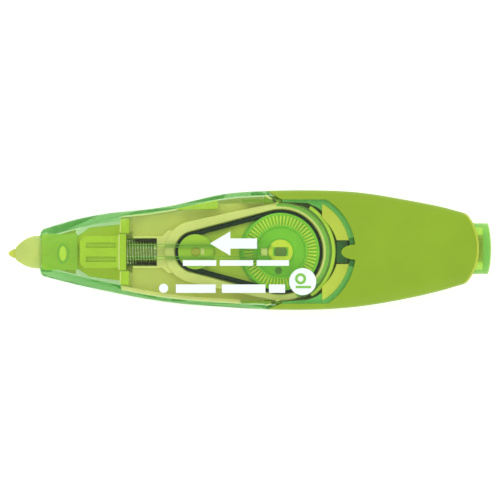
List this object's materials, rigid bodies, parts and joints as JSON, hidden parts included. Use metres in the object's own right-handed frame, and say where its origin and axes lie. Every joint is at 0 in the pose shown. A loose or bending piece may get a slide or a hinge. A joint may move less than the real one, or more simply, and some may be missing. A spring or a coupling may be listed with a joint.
{
  "type": "correction tape roller",
  "caption": "Pen-shaped retractable correction tape roller with a clear front casing, sliding refill cartridge, belt-driven reels and a knock button.",
  "frame": {"origin": "on the resting surface, under the centre of the bounding box", "axes": "+X along the body towards the knock button, +Y across the body, +Z out of the broad face with the pulleys"},
  "size_m": [0.1379, 0.0342, 0.0165],
  "materials": {
    "clear_green": "clear, polished",
    "opaque_lime": "fine satin",
    "button_green": "clear, polished",
    "bright_lime": "glossy",
    "cam_plastic": "natural acetal",
    "dark_green": "glossy",
    "cartridge_cream": "glossy",
    "neck_lime": "glossy",
    "frosted_lime": "frosted",
    "spring_steel": "drawn wire",
    "axle_olive": "moulded",
    "spool_white": "moulded",
    "white_tape": "coated tape",
    "used_tape": "bare backing",
    "clutch_rubber": "matt",
    "pulley_green": "moulded",
    "belt_rubber": "matt"
  },
  "bodies": {
    "casing": {"clear_shell_upper": "clear_green", "clear_shell_lower": "clear_green", "guide_bridge": "bright_lime", "window_liner": "cartridge_cream", "return_spring": "spring_steel"},
    "rear_housing": {"rear_cover_upper": "opaque_lime", "rear_cover_lower": "opaque_lime", "rear_end_ring": "opaque_lime", "cam_sleeve": "cam_plastic"},
    "button": {"knock_button": "button_green", "cam_plunger": "cam_plastic", "pusher_block": "dark_green"},
    "rotor": {"rotor_cam": "cam_plastic"},
    "cartridge": {"cartridge_base": "cartridge_cream", "cartridge_deck": "cartridge_cream", "spring_seat": "cartridge_cream", "tape_neck": "neck_lime", "nose_cone": "frosted_lime", "applicator_tip": "neck_lime", "guide_posts": "cartridge_cream", "supply_axle": "axle_olive", "takeup_axle": "axle_olive", "drive_belt": "belt_rubber", "reverse_stop_pawl": "cartridge_cream", "tape_run_out": "white_tape", "tape_run_return": "used_tape"},
    "supply_reel": {"supply_spool": "spool_white", "supply_tape_roll": "white_tape", "clutch_ring": "clutch_rubber", "supply_pulley": "pulley_green"},
    "takeup_reel": {"takeup_spool": "spool_white", "takeup_tape_roll": "used_tape", "takeup_pulley": "pulley_green"}
  },
  "joints": [
    {"name": "cartridge_slide", "type": "slide", "parent": "casing", "child": "cartridge", "axis": [1, 0, 0], "range_m": [-0.0015, 0.0098], "deforming": ["return_spring"]},
    {"name": "rear_housing_pull", "type": "slide", "parent": "casing", "child": "rear_housing", "axis": [1, 0, 0], "range_m": [0, 0.028]},
    {"name": "button_slide", "type": "slide", "parent": "rear_housing", "child": "button", "axis": [1, 0, 0], "range_m": [-0.0015, 0.0098]},
    {"name": "rotor_spin", "type": "hinge", "parent": "button", "child": "rotor", "pos_m": [0.044, 0.0004, 0.00825], "axis": [1, 0, 0], "continuous": true},
    {"name": "supply_spin", "type": "hinge", "parent": "cartridge", "child": "supply_reel", "pos_m": [0.00893, -0.0005, 0.00825], "axis": [0, 0, 1], "continuous": true},
    {"name": "takeup_spin", "type": "hinge", "parent": "cartridge", "child": "takeup_reel", "pos_m": [-0.0153, -0.0005, 0.00825], "axis": [0, 0, 1], "continuous": true}
  ],
  "couplings": [
    {"joint": "button_slide", "follows": "cartridge_slide", "ratio": 1},
    {"joint": "takeup_spin", "follows": "supply_spin", "ratio": 2.2178}
  ]
}
